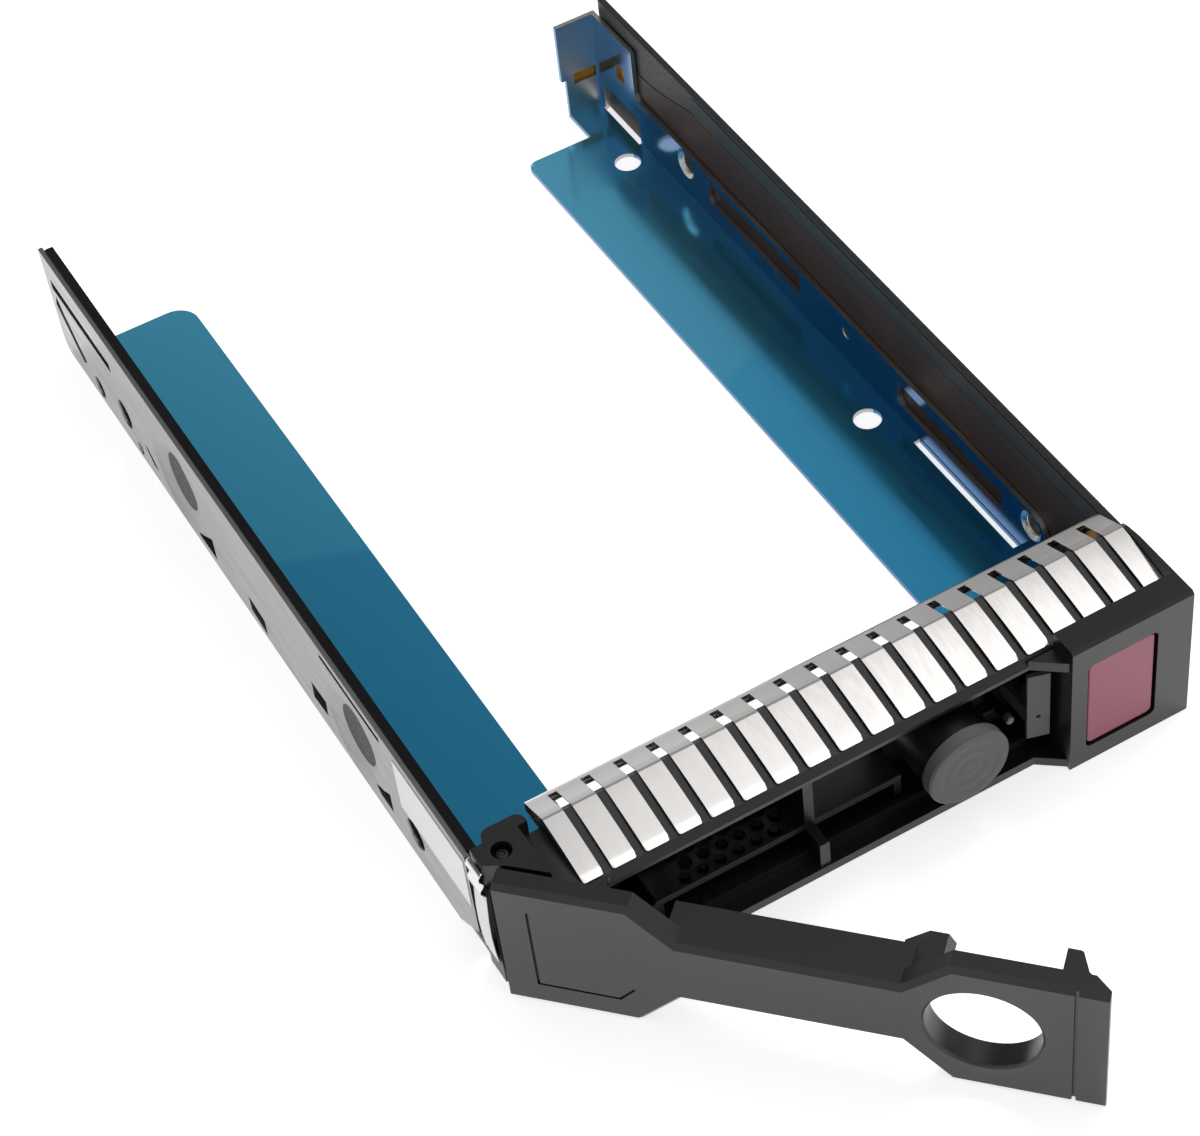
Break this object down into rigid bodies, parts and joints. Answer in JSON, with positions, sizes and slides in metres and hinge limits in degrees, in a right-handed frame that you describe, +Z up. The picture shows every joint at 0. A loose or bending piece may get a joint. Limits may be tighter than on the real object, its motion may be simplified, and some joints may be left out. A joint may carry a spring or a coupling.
{
  "type": "hot swap drive caddy",
  "caption": "Tray for one 3.5 inch drive, with bent sheet side rails, a moulded bezel, a release button and a swinging ejector lever that has a round finger hole.",
  "frame": {"origin": "middle of the front face at the level of the underside", "axes": "+X to the right seen from the front, +Y into the bay along the drive, +Z up"},
  "size_m": [0.1074, 0.2183, 0.0252],
  "materials": {
    "black_moulding": "moulded, satin",
    "black_lever": "moulded, satin",
    "pin_steel": "ground",
    "spring_steel": "drawn wire",
    "maroon_plastic": "moulded, smooth",
    "slider_plastic": "moulded",
    "finger_steel": "rolled, satin",
    "clip_steel": "rolled",
    "grey_lens": "matt diffuser",
    "guide_plastic": "dark tinted",
    "status_plastic": "frosted",
    "pilot_plastic": "clear",
    "board_laminate": "solder mask",
    "lamp_epoxy": "clear epoxy",
    "socket_plastic": "moulded",
    "rail_steel": "zinc plated, bright",
    "liner_plastic": "moulded, smooth",
    "cover_plastic": "fine texture",
    "ribbon_film": "polyimide film",
    "guard_film": "film",
    "contact_gold": "gold plated",
    "screw_steel": "black zinc",
    "label_paper": "matt film"
  },
  "bodies": {
    "carrier": {"front_bezel": "black_moulding", "hinge_pin": "pin_steel", "lever_spring": "spring_steel", "button_spring": "spring_steel", "finger_strip": "finger_steel", "ground_clip": "clip_steel", "indicator_lens": "grey_lens", "light_guide": "guide_plastic", "status_lens": "status_plastic", "pilot_lens": "pilot_plastic", "lamp_board": "board_laminate", "lamps": "lamp_epoxy", "flex_socket": "socket_plastic", "left_rail": "rail_steel", "left_liner": "liner_plastic", "right_rail": "rail_steel", "side_cover": "cover_plastic", "flex_ribbon": "ribbon_film", "ribbon_guard": "guard_film", "rear_contacts": "contact_gold", "left_rail_screws": "screw_steel", "right_rail_screws": "screw_steel", "side_label": "label_paper"},
    "swing_lever": {"lever": "black_lever"},
    "button": {"release_button": "maroon_plastic"},
    "latch": {"latch_slider": "slider_plastic"}
  },
  "joints": [
    {"name": "lever_pivot", "type": "hinge", "parent": "carrier", "child": "swing_lever", "pos_m": [-0.0405, 0.0078, 0], "axis": [0, 0, 1], "range_deg": [0, 46], "stiffness_Nm_per_rad": 0.05, "springref_deg": -34.38, "deforming": ["lever_spring"]},
    {"name": "button_press", "type": "slide", "parent": "carrier", "child": "button", "axis": [0, 1, 0], "range_m": [0, 0.002], "stiffness_N_per_m": 900, "springref_m": -0.001, "deforming": ["button_spring"]},
    {"name": "latch_slide", "type": "slide", "parent": "carrier", "child": "latch", "axis": [1, 0, 0], "range_m": [0, 0.002]}
  ],
  "couplings": [
    {"joint": "latch_slide", "follows": "button_press", "ratio": 1}
  ]
}
